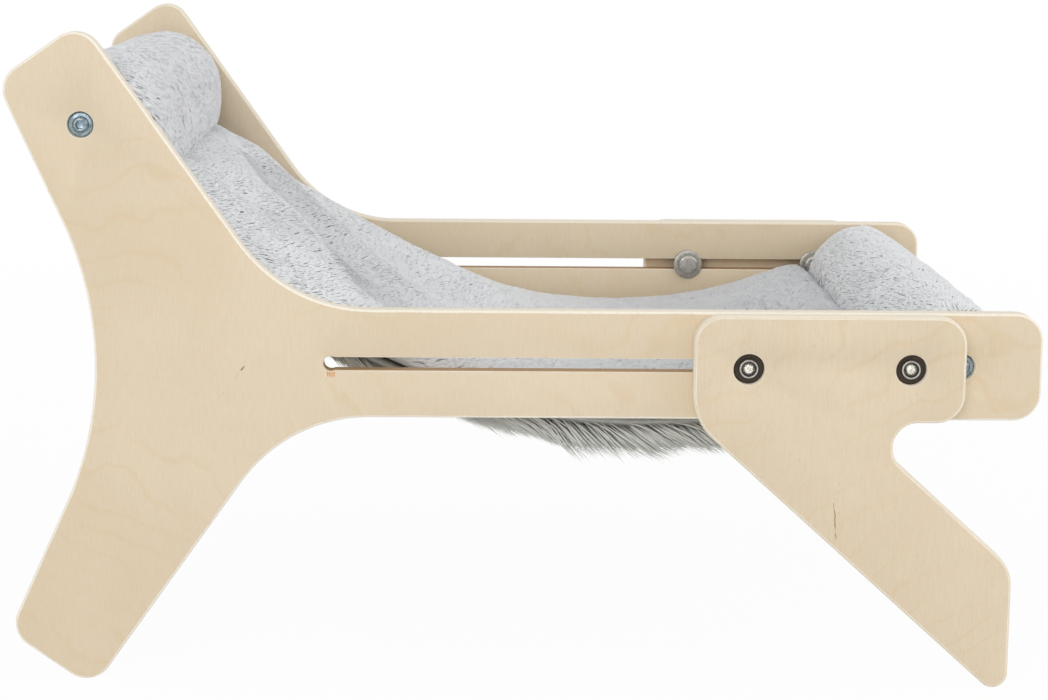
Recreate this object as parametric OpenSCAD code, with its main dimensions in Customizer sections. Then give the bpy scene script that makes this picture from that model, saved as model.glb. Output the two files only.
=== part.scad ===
// Cat hammock: two plywood side panels, two front legs that slide along a slot,
// two crossbars and a plush bed sewn to a tunnel at each end.
// +X points to the low front end, +Y to the left side, +Z up.
// The origin lies on the floor under the middle of the object. Sizes are in millimetres.

/* [Side panels] */
// Length of a side panel
panel_len = 510; // [470:1:550]
// Height of a side panel, from the rear foot to the top of the rear arm
panel_h = 323.6; // [300:0.2:350]
// Thickness of the panel's plywood
panel_t = 9; // [7:0.5:12]
// Clear width between the two panels
inner_w = 324; // [280:1:380]
// Height of the front arm that holds the slot
arm_h = 54; // [48:0.5:60]
// Lean of the rear arm's inner edge from upright, in degrees
arm_lean = 35.2; // [32:0.1:38]
// Lean of the rear edge from upright, in degrees
back_lean = 24.3; // [22:0.1:26]
// Width of the rear arm's square end
arm_end_w = 50.7; // [46:0.1:56]
// Round of the front arm's corners
front_r = 14; // [8:0.5:20]
// Round of the arm's end corners, on which the panel stands
end_r = 13.5; // [9:0.5:18]
// Hollow round between the front arm and the rear arm
crotch_r = 78; // [50:1:90]
// Hollow round of the waist in the rear edge
waist_r = 174; // [120:1:200]

/* [Slot] */
// Width of the slot
slot_w = 6.6; // [6.4:0.1:7.2]
// Diameter drilled at both ends of the slot
slot_drill_d = 7.5; // [7.3:0.1:9]
// Distance from the panel's front end to the slot's rear drilled end
slot_reach = 352; // [320:1:365]
// Spare slot in front of the front clamp bolt
slot_spare = 3; // [2:0.5:4]

/* [Front legs] */
// Thickness of the leg's plywood
leg_t = 9; // [8:0.5:12]
// Distance from the panel's front end to the middle of the leg's pad
leg_set = 106.5; // [104:0.5:115]
// Distance between the two clamp bolts of a leg
clamp_pitch = 80; // [70:1:86]
// Length of the pad beyond each clamp bolt
pad_end = 27; // [22:0.5:30]
// Height of the pad
pad_h = 53; // [46:0.5:58]
// Width of the slanting strip
leg_w = 52.7; // [46:0.1:58]
// Slope of the strip below level, in degrees
leg_lean = 42.1; // [40:0.1:44]
// Distance from the middle of the pad to the upright end edge
toe_x = 93.5; // [88:0.5:100]
// Round of the toe that stands on the floor
toe_r = 7.5; // [5:0.5:10]
// Round of the end edge's upper corner
shin_r = 21; // [12:1:28]
// Round of the notch under the pad
notch_r = 12.5; // [8:0.5:16]
// Round of the pad's three corners
pad_r = 14; // [8:0.5:18]
// Round between the pad and the strip's lower edge
heel_r = 30; // [20:1:40]

/* [Crossbars] */
// Diameter of a crossbar
bar_d = 28; // [25:0.5:32]
// Distance of the rear bar below the rear arm's end edge
rear_bar_drop = 40.4; // [36:0.2:46]
// Distance of the rear bar from the rear arm's inner edge
rear_bar_inset = 29.7; // [26:0.1:32]
// Distance of the front bar from the panel's front end
front_bar_set = 39.7; // [37:0.1:42]
// Outside diameter of a threaded insert
insert_d = 10; // [9:0.5:12]
// Length of a threaded insert
insert_len = 18; // [14:0.5:20]
// Depth of an insert below the bar's end
insert_sink = 0.5; // [0.5:0.1:1]
// Depth of the hole in the bar's end
bar_hole_len = 24; // [22:0.5:30]

/* [Crossbar bolts] */
// Thread diameter of all bolts
bolt_d = 6; // [5:0.1:6]
// Hole through the panel for a crossbar bolt
bolt_hole_d = 6.4; // [6.2:0.1:7]
// Reach of a crossbar bolt into the bar
bolt_reach = 20; // [16:0.5:21]
// Flange diameter of a crossbar bolt
flange_d = 12.4; // [11:0.1:13]
// Flange thickness
flange_t = 1.2; // [0.8:0.1:1.6]
// Diameter of the dome in the middle of the head
dome_d = 8; // [7:0.1:9]
// Height of the whole head
head_h = 3.2; // [2.8:0.1:3.6]
// Hex socket, across its flats
hex_af = 4; // [3:0.5:4]
// Depth of the hex socket
hex_depth = 2.2; // [1.5:0.1:2.6]
// Diameter of the recess in the panel for the head
recess_d = 13.2; // [13.1:0.1:15]

/* [Leg clamps] */
// Diameter of the mushroom head inside the panel
mushroom_d = 12.4; // [11:0.1:14]
// Height of the mushroom head
mushroom_h = 3; // [2.4:0.1:3.4]
// Round of the mushroom head's rim
mushroom_rim = 1.6; // [0.8:0.1:2.2]
// Length of the square neck, from under the head
neck_len = 8.6; // [6:0.1:9]
// Diameter of the inner washer
inner_washer_d = 18; // [16:0.5:18.5]
// Thickness of the inner washer
inner_washer_t = 1.6; // [1.2:0.1:1.8]
// Diameter of the round recess in the leg's outer face
cup_d = 15.6; // [14:0.1:18]
// Depth of that recess
cup_depth = 5; // [4:0.1:6]
// Thickness of the dark washer in the recess
outer_washer_t = 1.2; // [0.8:0.1:1.6]
// Outside diameter of the sleeve nut's rim
nut_d = 9.3; // [9:0.1:11]
// Height of the rim above the washer
nut_h = 2.4; // [1.8:0.1:2.6]
// Outside diameter of the nut's sleeve
sleeve_d = 8; // [7.4:0.1:8.6]
// Width of the bevel inside the nut's mouth
mouth_bevel = 0.8; // [0.3:0.1:1]

/* [Bed] */
// Clear width between the bed's side edge and the panel
bed_gap = 7; // [6:0.5:12]
// Thickness of the two plies together
bed_t = 24; // [18:0.5:26]
// Radius of the plush roll round a bar
roll_r = 29; // [25:0.5:30]
// Distance from the rear bar to the seam below it
rear_seam = 43; // [40:0.5:50]
// Direction of that seam below level, in degrees
rear_seam_dir = 60; // [50:1:70]
// Distance from the front bar to the seam behind it
front_seam = 38; // [36:0.5:46]
// Direction of that seam below level, in degrees
front_seam_dir = 19; // [12:1:24]
// Slope of the bed where it leaves the rear seam, in degrees
rear_slope = 39; // [34:0.5:44]
// Slope of the bed where it meets the front seam, in degrees
front_slope = 15; // [10:0.5:20]
// Reach of the rear slope before the bed bends
rear_pull = 170; // [140:1:190]
// Reach of the front slope before the bed bends
front_pull = 155; // [130:1:180]
// Depth of the bed's middle below its side edges
bed_belly = 5; // [0:0.5:8]
// Height of the folds across the rear slope
fold_h = 9; // [0:0.5:10]
// Half width of a fold
fold_w = 19; // [16:0.5:30]
// Drawing-in of the roll's ends
roll_end_r = 6; // [3:0.5:9]
// Swell of the roll's middle
roll_crown = 1; // [0:0.1:2]

/* [Clearances] */
// Gap between a leg or washer and the panel it slides on
slide_gap = 0.2; // [0.1:0.05:0.4]
// Gap round a washer, sleeve or plush tunnel that is slipped on
slip_gap = 0.2; // [0.1:0.05:0.3]
// Gap round a thread or an insert
thread_gap = 0.05; // [0.02:0.01:0.1]
// Gap between two pieces of cloth
cloth_gap = 0.2; // [0.1:0.05:0.4]
// Depth by which a bolt head lies below the panel's face
head_sink = 0.2; // [0.1:0.05:0.4]

/* [Hidden] */
$fn = 64;

birch = [0.90, 0.82, 0.68];
beech = [0.82, 0.66, 0.46];
zinc = [0.60, 0.65, 0.69];
nickel = [0.72, 0.72, 0.71];
brass = [0.78, 0.64, 0.34];
black = [0.13, 0.12, 0.11];
plush = [0.79, 0.82, 0.86];
under_plush = [0.66, 0.69, 0.72];

// Largest distance between a drawn arc and the true one
arc_error = 0.03;
// Length by which a cutting shape passes the face it cuts
cut = 1;

// Places across the width, on the left side
y_in = inner_w / 2;
y_out = y_in + panel_t;
y_leg = y_out + slide_gap;
y_leg_out = y_leg + leg_t;

// Places along the length and in height
front_x = panel_len / 2;
rear_x = -panel_len / 2;
axis_z = panel_h / 2;
leg_x = front_x - leg_set;
rear_clamp_x = leg_x - clamp_pitch / 2;
front_clamp_x = leg_x + clamp_pitch / 2;
slot_rear_x = front_x - slot_reach;
slot_front_x = front_clamp_x + slot_spare;

// The rear arm: down its length, across its end, and down the rear edge
arm_down = [sin(arm_lean), -cos(arm_lean)];
arm_across = [cos(arm_lean), sin(arm_lean)];
back_down = [sin(back_lean), -cos(back_lean)];

// Corners of the panel's upper half, measured from the slot's axis, before rounding
rear_half_angle = acos(arm_across * back_down) / 2;
rear_corner_x = rear_x + end_r - unit(arm_across + back_down).x * end_r / sin(rear_half_angle);
top_corner_z = axis_z + end_r * (sin(arm_lean) + cos(arm_lean) - 1);
top_corner = [rear_corner_x, top_corner_z] + arm_end_w * [arm_across.x, 0];
rear_corner = top_corner - arm_end_w * arm_across;
crotch_x = top_corner.x + (top_corner.y - arm_h / 2) * tan(arm_lean);
waist_x = rear_corner.x + rear_corner.y * tan(back_lean);

// The crossbars' axes, as [x, z]
rear_bar = [0, axis_z] + top_corner + rear_bar_drop * arm_down - rear_bar_inset * arm_across;
front_bar = [front_x - front_bar_set, axis_z];

// The heads of the crossbar bolts
recess_depth = head_h + head_sink;
bolt_len = panel_t - recess_depth + bolt_reach;

// The clamps, from the inside of the panel to the outside of the leg
y_washer = y_in - slide_gap - inner_washer_t;
y_head = y_washer - mushroom_h;
y_cup = y_leg_out - cup_depth;
y_nut = y_cup + outer_washer_t;
clamp_len = y_nut + nut_h - y_head;
neck_diagonal = bolt_d * sqrt(2);
sleeve_len = outer_washer_t + leg_t - cup_depth - slip_gap;

// The bed's curve between its two seams, as [x, z]
bed_w = inner_w - 2 * bed_gap;
bed_start = rear_bar + rear_seam * [cos(rear_seam_dir), -sin(rear_seam_dir)];
bed_end = front_bar - front_seam * [cos(front_seam_dir), sin(front_seam_dir)];
bed_curve = [
  bed_start,
  bed_start + rear_pull * [cos(rear_slope), -sin(rear_slope)],
  bed_end - front_pull * [cos(front_slope), sin(front_slope)],
  bed_end
];
// Length and half width over which the folds' shares are measured
fold_span = [norm(bed_end - bed_start), bed_w / 2];
// Steps of the bed along and across, and how much closer the steps along lie at the rear
bed_rows = 28;
bed_cols = 20;
bed_crowding = 1.25;
// Thickness that is left at the bed's sewn side edges, as a share
hem_share = 0.55;
// Folds, each from [share along, share across] to [share along, share across] and its share of the height
folds = [
  [[0.03, 0.80], [0.46, -0.34], 1],
  [[0.02, 0.10], [0.40, -0.56], 0.8],
  [[0.04, -0.46], [0.42, -0.86], 0.7],
  [[0.16, 0.98], [0.60, 0.62], 0.7],
  [[0.97, 0.20], [0.80, 0.52], 0.4],
  [[0.97, -0.50], [0.78, -0.70], 0.4]
];
// Steps of a roll round and along
roll_sides = 26;
roll_rows = 10;
roll_end_rows = 3;

// A vector's direction with length 1
function unit(v) = v / norm(v);

// A point without its third number
function flat(v) = [v[0], v[1]];

// An angle brought between -180 and 180 degrees
function wrapped(a) = a > 180 ? a - 360 : a < -180 ? a + 360 : a;

// The arc that rounds corner q, which is [x, z, radius], between its neighbours p and n
function corner_arc(p, q, n) =
  let (
    a = unit(flat(p) - flat(q)),
    b = unit(flat(n) - flat(q)),
    r = q[2],
    half = acos(a * b) / 2,
    centre = flat(q) + unit(a + b) * r / sin(half),
    start = flat(q) + a * r / tan(half) - centre,
    stop = flat(q) + b * r / tan(half) - centre,
    from = atan2(start.y, start.x),
    turn = wrapped(atan2(stop.y, stop.x) - from),
    steps = ceil(abs(turn) / (2 * acos(1 - arc_error / r)))
  ) [for (i = [0:steps]) centre + r * [cos(from + turn * i / steps), sin(from + turn * i / steps)]];

// A closed outline with every corner rounded by its own radius
function rounded(v) = [
  for (i = [0:len(v) - 1]) each corner_arc(v[(i + len(v) - 1) % len(v)], v[i], v[(i + 1) % len(v)])
];

// The panel is the same above and below the slot's axis
panel_upper = [
  [front_x, arm_h / 2, front_r],
  [crotch_x, arm_h / 2, crotch_r],
  [top_corner.x, top_corner.y, end_r],
  [rear_corner.x, rear_corner.y, end_r]
];
panel_outline = rounded([
  each panel_upper,
  [waist_x, 0, waist_r],
  for (i = [len(panel_upper) - 1:-1:0]) [panel_upper[i][0], -panel_upper[i][1], panel_upper[i][2]]
]);

// The leg, measured from the middle of its pad; its toe reaches the floor
pad_x = clamp_pitch / 2 + pad_end;
toe_z = -axis_z - toe_r * (1 / tan((90 - leg_lean) / 2) - 1);
shin_z = toe_z + leg_w / cos(leg_lean);
notch_x = toe_x + (pad_h / 2 + shin_z) / tan(leg_lean);
heel_z = toe_z + (toe_x + pad_x) * tan(leg_lean);
// The rounds of the notch and the heel, no wider than the straight edge that they start from
notch_round = min(notch_r, (pad_x - pad_r - notch_x) * tan(leg_lean / 2));
heel_round = min(heel_r, (pad_h / 2 - pad_r - heel_z) * tan((90 + leg_lean) / 2));
leg_outline = rounded([
  [-pad_x, pad_h / 2, pad_r],
  [pad_x, pad_h / 2, pad_r],
  [pad_x, -pad_h / 2, pad_r],
  [notch_x, -pad_h / 2, notch_round],
  [toe_x, shin_z, shin_r],
  [toe_x, toe_z, toe_r],
  [-pad_x, heel_z, heel_round]
]);

// A point of the bed's middle line, its direction and its upward normal
function bed_line(t) =
  let (s = 1 - t)
  s ^ 3 * bed_curve[0] + 3 * s ^ 2 * t * bed_curve[1] + 3 * s * t ^ 2 * bed_curve[2] + t ^ 3 * bed_curve[3];
function bed_dir(t) =
  let (s = 1 - t, c = bed_curve)
  unit(s ^ 2 * (c[1] - c[0]) + 2 * s * t * (c[2] - c[1]) + t ^ 2 * (c[3] - c[2]));
function bed_up(t) = [-bed_dir(t).y, bed_dir(t).x];

// A smooth step from 0 to 1
function eased(k) = let (c = min(1, max(0, k))) c * c * (3 - 2 * c);

// Shares along and across as lengths
function spread(shares) = [shares.x * fold_span.x, shares.y * fold_span.y];

// The height of one fold at share t along and v across: a ridge that fades towards its front end
function one_fold(f, t, v) =
  let (
    line = spread(f[1] - f[0]),
    rel = spread([t, v] - f[0]),
    along = min(1, max(0, rel * line / (line * line))),
    off = norm(rel - along * line)
  ) f[2] * eased((1 - along) * 2) * exp(-(off / fold_w) ^ 2);

// The bed's lift from its middle line: its belly and its folds, which end at the seams
function bed_lift(t, v) =
  let (
    seam = eased(t * 14) * eased((1 - t) * 14),
    ridges = [for (f = folds) one_fold(f, t, v)]
  ) seam * (fold_h * (ridges * [for (f = folds) 1]) - bed_belly * (1 - v * v) * sin(180 * t));

// Half of the bed's thickness, drawn in at the side edges
function half_t(v) = bed_t / 2 * (hem_share + (1 - hem_share) * sqrt(1 - abs(v) ^ 6));

// A point on the bed at share t along and v across, lifted by d
function bed_point(t, v, d) =
  let (p = bed_line(t) + bed_up(t) * (bed_lift(t, v) + d))
  [p.x, v * bed_w / 2, p.y];

// Faces of a closed slab between an upper grid and a lower grid of points
function slab_faces(rows, cols) =
  let (
    w = cols + 1,
    low = (rows + 1) * w,
    rim = [
      for (j = [0:cols - 1]) j,
      for (i = [0:rows - 1]) i * w + cols,
      for (j = [cols:-1:1]) rows * w + j,
      for (i = [rows:-1:1]) i * w
    ]
  ) [
    for (i = [0:rows - 1], j = [0:cols - 1])
      let (a = i * w + j, b = a + 1, c = a + w, d = c + 1)
        each [[a, b, d], [a, d, c], [low + a, low + d, low + b], [low + a, low + c, low + d]],
    for (k = [0:len(rim) - 1])
      let (a = rim[k], b = rim[(k + 1) % len(rim)])
        each [[a, low + a, low + b], [a, low + b, b]]
  ];

// The outline of a roll round a bar: an arc of cloth and the two ends of its seam
function roll_ring(bar, seam_top, seam_bottom) =
  let (
    to_top = seam_top - bar,
    to_bottom = seam_bottom - bar,
    from = atan2(to_top.y, to_top.x) + acos(roll_r / norm(to_top)),
    end = atan2(to_bottom.y, to_bottom.x) - acos(roll_r / norm(to_bottom)),
    turn = end > from ? end - from : end - from + 360
  ) [
    for (i = [0:roll_sides]) roll_r * [cos(from + turn * i / roll_sides), sin(from + turn * i / roll_sides)],
    to_bottom,
    to_top
  ];

// Shares along a roll, crowded at its rounded ends
function roll_stations() =
  let (inner = bed_w / 2 - roll_end_r)
  [
    for (i = [0:roll_end_rows - 1]) -inner - roll_end_r * cos(90 * i / roll_end_rows),
    for (i = [0:roll_rows]) -inner + 2 * inner * i / roll_rows,
    for (i = [roll_end_rows - 1:-1:0]) inner + roll_end_r * cos(90 * i / roll_end_rows)
  ];

// The size of a roll at place y, as a share: round at the ends and fuller in the middle
function roll_share(y) =
  let (
    past = max(0, abs(y) - (bed_w / 2 - roll_end_r)) / roll_end_r,
    drawn = roll_end_r * (1 - sqrt(max(0, 1 - past * past))) / 2
  ) 1 - (drawn + roll_crown * (2 * y / bed_w) ^ 2) / roll_r;

// Draws an outline of [x, z] points as a plate between y and y + t
module plate(outline, y, t) {
  translate([0, y + t, 0])
    rotate([90, 0, 0])
      linear_extrude(t)
        polygon(outline);
}

// Draws a round rod or hole along Y through the point [x, z]
module rod(at, y, length, d) {
  translate([at.x, y + length, at.y])
    rotate([90, 0, 0])
      cylinder(d = d, h = length);
}

// Turns a profile of [radius, y] points about a line along Y through the point [x, z]
module turned(at, y, profile) {
  translate([at.x, y, at.y])
    rotate([-90, 0, 0])
      rotate_extrude()
        polygon(profile);
}

// Draws its children on the left, or mirrored to the right
module on_side(side) {
  if (side == "left") {
    children();
  } else {
    mirror([0, 1, 0])
      children();
  }
}

// The place of a clamp on the slot's axis, as [x, z]
function clamp_at(end) = [end == "front" ? front_clamp_x : rear_clamp_x, axis_z];

// A plywood side panel with its slot and its two bolt holes
module side_panel(side) {
  color(birch)
    on_side(side)
      difference() {
        translate([0, 0, axis_z])
          plate(panel_outline, y_in, panel_t);
        translate([slot_rear_x, y_in - cut, axis_z - slot_w / 2])
          cube([slot_front_x - slot_rear_x, panel_t + 2 * cut, slot_w]);
        for (x = [slot_rear_x, slot_front_x])
          rod([x, axis_z], y_in - cut, panel_t + 2 * cut, slot_drill_d);
        for (bar = [rear_bar, front_bar]) {
          rod(bar, y_in - cut, panel_t + 2 * cut, bolt_hole_d);
          rod(bar, y_out - recess_depth, recess_depth + cut, recess_d);
        }
      }
}

// A round crossbar, drilled at both ends for its inserts
module crossbar(bar) {
  color(beech)
    difference() {
      rod(bar, -y_in, inner_w, bar_d);
      for (side = ["left", "right"])
        on_side(side)
          rod(bar, y_in - bar_hole_len, bar_hole_len + cut, insert_d + 2 * thread_gap);
    }
}

// The pair of threaded inserts in the ends of a crossbar
module bar_inserts(bar) {
  color(brass)
    for (side = ["left", "right"])
      on_side(side)
        difference() {
          rod(bar, y_in - insert_sink - insert_len, insert_len, insert_d);
          rod(bar, y_in - insert_sink - insert_len - cut, insert_len + 2 * cut, bolt_d + 2 * thread_gap);
        }
}

// A flanged bolt with a domed middle and a hex socket, its head below the panel's face
module crossbar_bolt(bar, side) {
  seat = y_out - recess_depth;
  bevel = bolt_d / 8;
  color(zinc)
    on_side(side)
      difference() {
        turned(bar, seat, [
          [0, -bolt_len], [bolt_d / 2 - bevel, -bolt_len], [bolt_d / 2, -bolt_len + bevel], [bolt_d / 2, 0],
          [flange_d / 2, 0], [flange_d / 2, flange_t / 2], [flange_d / 2 - flange_t / 2, flange_t],
          [dome_d / 2, flange_t], [dome_d / 2, flange_t + (head_h - flange_t) / 2],
          [dome_d / 2 - (head_h - flange_t) / 2, head_h], [0, head_h]
        ]);
        translate([bar.x, y_out - head_sink + cut, bar.y])
          rotate([90, 0, 0])
            cylinder(d = hex_af / cos(30), h = hex_depth + cut, $fn = 6);
      }
}

// A plush tunnel sewn round a bar, drawn in to a flat seam where the bed joins it
module roll_cover(bar, seam_top, seam_bottom) {
  ring = roll_ring(bar, seam_top, seam_bottom);
  stations = roll_stations();
  sides = len(ring);
  last = len(stations) - 1;
  hub = sides * (last + 1);
  points = [
    for (y = stations, q = ring)
      let (p = bar + q * roll_share(y)) [p.x, y, p.y],
    [bar.x, stations[0], bar.y],
    [bar.x, stations[last], bar.y]
  ];
  faces = [
    for (i = [0:last - 1], k = [0:sides - 1])
      let (a = i * sides + k, b = i * sides + (k + 1) % sides)
        each [[a, a + sides, b + sides], [a, b + sides, b]],
    for (k = [0:sides - 1])
      let (n = (k + 1) % sides)
        each [[hub, k, n], [hub + 1, last * sides + n, last * sides + k]]
  ];
  color(plush)
    difference() {
      polyhedron(points, faces);
      rod(bar, -bed_w / 2 - cut, bed_w + 2 * cut, bar_d + 2 * slip_gap);
    }
}

// The ends of a seam's face, above or below the bed's end
function seam_end(t, up, gap) = bed_line(t) + bed_dir(t) * gap + bed_up(t) * up * bed_t / 2;

module rear_roll_cover() {
  roll_cover(rear_bar, seam_end(0, 1, -cloth_gap), seam_end(0, -1, -cloth_gap));
}

module front_roll_cover() {
  roll_cover(front_bar, seam_end(1, -1, cloth_gap), seam_end(1, 1, cloth_gap));
}

// One ply of the bed between two heights, each a share of half the thickness
module bed_ply(low, high, shade) {
  shares = [for (j = [0:bed_cols]) 2 * j / bed_cols - 1];
  gap = cloth_gap / 2;
  points = [
    for (d = [high, low], i = [0:bed_rows], v = shares)
      bed_point((i / bed_rows) ^ bed_crowding, v, d == 0 ? gap * (low + high) : d * half_t(v))
  ];
  color(shade)
    polyhedron(points, slab_faces(bed_rows, bed_cols));
}

module bed_top_ply() {
  bed_ply(0, 1, plush);
}

module bed_under_ply() {
  bed_ply(-1, 0, under_plush);
}

// A plywood front leg: a pad with two recessed holes and a slanting strip
module leg_plate(side) {
  color(birch)
    on_side(side)
      difference() {
        translate([leg_x, 0, axis_z])
          plate(leg_outline, y_leg, leg_t);
        for (end = ["rear", "front"]) {
          rod(clamp_at(end), y_leg - cut, leg_t + 2 * cut, sleeve_d + 2 * slip_gap);
          rod(clamp_at(end), y_cup, cup_depth + cut, cup_d);
        }
      }
}

// A bolt with a flat mushroom head inside the panel, rounded at its rim, and a square neck in the slot
module clamp_bolt(side, end) {
  at = clamp_at(end);
  flat_r = mushroom_d / 2 - mushroom_rim;
  rim_steps = 6;
  bevel = bolt_d / 6;
  color(nickel)
    on_side(side) {
      turned(at, y_head, [
        [0, 0],
        for (i = [0:rim_steps])
          let (a = 90 * i / rim_steps) [flat_r + mushroom_rim * sin(a), mushroom_rim * (1 - cos(a))],
        [mushroom_d / 2, mushroom_h], [bolt_d / 2, mushroom_h],
        [bolt_d / 2, clamp_len - bevel], [bolt_d / 2 - bevel, clamp_len], [0, clamp_len]
      ]);
      translate([at.x - bolt_d / 2, y_washer, at.y - bolt_d / 2])
        cube([bolt_d, neck_len, bolt_d]);
    }
}

// A round washer along Y
module washer(at, y, t, outer_d, inner_d) {
  difference() {
    rod(at, y, t, outer_d);
    rod(at, y - cut, t + 2 * cut, inner_d);
  }
}

module inner_washer(side, end) {
  color(nickel)
    on_side(side)
      washer(clamp_at(end), y_washer, inner_washer_t, inner_washer_d, neck_diagonal + 2 * slip_gap);
}

module outer_washer(side, end) {
  color(black)
    on_side(side)
      washer(clamp_at(end), y_cup, outer_washer_t, cup_d - 2 * slip_gap, sleeve_d + 2 * slip_gap);
}

// A round nut whose sleeve passes through the dark washer into the leg
module sleeve_nut(side, end) {
  bore_r = bolt_d / 2 + thread_gap;
  edge = mouth_bevel / 4;
  color(nickel)
    on_side(side)
      turned(clamp_at(end), y_nut, [
        [bore_r, -sleeve_len], [sleeve_d / 2, -sleeve_len], [sleeve_d / 2, 0], [nut_d / 2, 0],
        [nut_d / 2, nut_h - edge], [nut_d / 2 - edge, nut_h],
        [bore_r + mouth_bevel, nut_h], [bore_r, nut_h - mouth_bevel]
      ]);
}

side_panel("right");  // right_side_panel
side_panel("left");  // left_side_panel
crossbar(rear_bar);  // rear_crossbar
crossbar(front_bar);  // front_crossbar
bar_inserts(rear_bar);  // rear_bar_inserts
bar_inserts(front_bar);  // front_bar_inserts
crossbar_bolt(rear_bar, "right");  // rear_right_bolt
crossbar_bolt(rear_bar, "left");  // rear_left_bolt
crossbar_bolt(front_bar, "right");  // front_right_bolt
crossbar_bolt(front_bar, "left");  // front_left_bolt
rear_roll_cover();
front_roll_cover();
bed_top_ply();
bed_under_ply();
leg_plate("right");  // right_leg_plate
leg_plate("left");  // left_leg_plate
clamp_bolt("right", "rear");  // right_rear_clamp_bolt
clamp_bolt("right", "front");  // right_front_clamp_bolt
clamp_bolt("left", "rear");  // left_rear_clamp_bolt
clamp_bolt("left", "front");  // left_front_clamp_bolt
inner_washer("right", "rear");  // right_rear_inner_washer
inner_washer("right", "front");  // right_front_inner_washer
inner_washer("left", "rear");  // left_rear_inner_washer
inner_washer("left", "front");  // left_front_inner_washer
outer_washer("right", "rear");  // right_rear_outer_washer
outer_washer("right", "front");  // right_front_outer_washer
outer_washer("left", "rear");  // left_rear_outer_washer
outer_washer("left", "front");  // left_front_outer_washer
sleeve_nut("right", "rear");  // right_rear_sleeve_nut
sleeve_nut("right", "front");  // right_front_sleeve_nut
sleeve_nut("left", "rear");  // left_rear_sleeve_nut
sleeve_nut("left", "front");  // left_front_sleeve_nut
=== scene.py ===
import math

import bmesh
import bpy
import numpy as np
from mathutils import Matrix, Vector, kdtree


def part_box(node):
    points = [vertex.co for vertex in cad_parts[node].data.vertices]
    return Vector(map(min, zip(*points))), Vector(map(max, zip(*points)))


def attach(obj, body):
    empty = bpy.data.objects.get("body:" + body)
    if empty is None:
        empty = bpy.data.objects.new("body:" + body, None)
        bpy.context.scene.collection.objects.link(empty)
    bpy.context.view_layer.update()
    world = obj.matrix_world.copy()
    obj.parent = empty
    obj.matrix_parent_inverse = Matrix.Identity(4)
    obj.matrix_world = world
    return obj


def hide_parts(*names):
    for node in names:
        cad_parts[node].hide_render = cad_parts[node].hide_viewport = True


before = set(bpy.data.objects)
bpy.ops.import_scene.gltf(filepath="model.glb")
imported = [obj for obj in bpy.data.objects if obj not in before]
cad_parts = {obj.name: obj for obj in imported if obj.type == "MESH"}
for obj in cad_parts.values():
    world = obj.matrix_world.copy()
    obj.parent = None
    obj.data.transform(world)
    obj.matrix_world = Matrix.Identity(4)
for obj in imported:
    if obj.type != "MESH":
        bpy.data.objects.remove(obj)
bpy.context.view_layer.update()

# Lengths are in metres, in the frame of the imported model: +X to the low front end, +Z up.
MM = 0.001
FRAME_BODY = "frame"
SIDES = ("right", "left")
ENDS = ("rear", "front")


def centre_of(node):
    """The middle of a node's box."""
    low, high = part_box(node)
    return (low + high) / 2


# Places that the frame gives
panel_low, panel_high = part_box("right_side_panel")
slot_axis_z = (panel_low.z + panel_high.z) / 2
panel_outer_y = panel_low.y
leg_outer_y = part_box("right_leg_plate")[0].y
front_bar_low, front_bar_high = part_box("front_crossbar")
bar_radius = (front_bar_high.z - front_bar_low.z) / 2
rear_bar = centre_of("rear_crossbar")
front_bar = centre_of("front_crossbar")
bed_side_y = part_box("bed_top_ply")[1].y
# The drilled rear end of the panels' slots
SLOT_REAR_X = -0.097

# The tan figure of the veneer: the spacing of its bands, and how far they drift and wobble
FIGURE_PITCH = 17 * MM
FIGURE_DRIFT = 75 * MM
FIGURE_WOBBLE = 7 * MM
# How the bands bend on the panels and the legs: a shift along X, a tilt, and its change with height
PANEL_FIGURE = (0.18, 0.78, -3.4)
LEG_FIGURE = (-0.12, -0.9, 1.2)
# The plies' spacing as stripes on the edges, and how far they waver
PLY_PITCH = 2.57 * MM
PLY_SWAY = 0.25 * MM

# Small checks in the veneer, each from one (x, z) to another, with its width and its colour
PANEL_CHECKS = (
    ((-0.1413, 0.1580), (-0.1536, 0.1420), 0.12 * MM, (176, 142, 106)),
    ((-0.1394, 0.1611), (-0.1415, 0.1577), 0.5 * MM, (124, 84, 56)),
)
LEG_CHECKS = (((0.1520, 0.0954), (0.1538, 0.0744), 0.35 * MM, (158, 104, 74)),)
CHECK_WANDER = 1.6 * MM
# Scorched streaks below the slots' drilled ends: shifts along X, and both ends below the slot's axis
SCORCH_SHIFTS = (-1.3 * MM, -0.4 * MM, 0.6 * MM, 1.6 * MM)
SCORCH_DROP = (2.2 * MM, 6.8 * MM)
SCORCH_LEAN = 0.3 * MM
SCORCH_WIDTH = 0.5 * MM
SCORCH_COLOUR = (214, 156, 104)

# Softened edges
MERGE = 0.002 * MM
FLAT_ANGLE = math.radians(1.5)
SHARP_ANGLE = math.radians(35)
SMOOTH_ANGLE = math.radians(40)
ALL_SMOOTH = math.radians(180)
PLATE_ROUND = 1.3 * MM
HOLE_ROUND = 0.35 * MM
SLOT_ROUND = 0.45 * MM
METAL_ROUND = 0.18 * MM
WASHER_ROUND = 0.45 * MM
# The radius inside the sleeve nuts' bright rim, within which the mouth's bevel gets painted shade, and
# how far the bolts' bright ends reach in
NUT_RIM = 3.95 * MM
CUT_END = 0.9 * MM
# How near an edge has to be to belong to a bolt's end, a hole or a slot
END_REACH = 1.2 * MM
RECESS_REACH = 9 * MM
SLOT_REACH = 6 * MM
# How far a face has to be turned to Y to be a board's face, and how little to be a wall of its slot
FACE_TURN = 0.97
WALL_TURN = 0.3
# How far the bevel of a nut's mouth, which gets painted shade, is turned to Y, at least and at most
MOUTH_TURN = (0.3, 0.95)


# Materials


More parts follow.
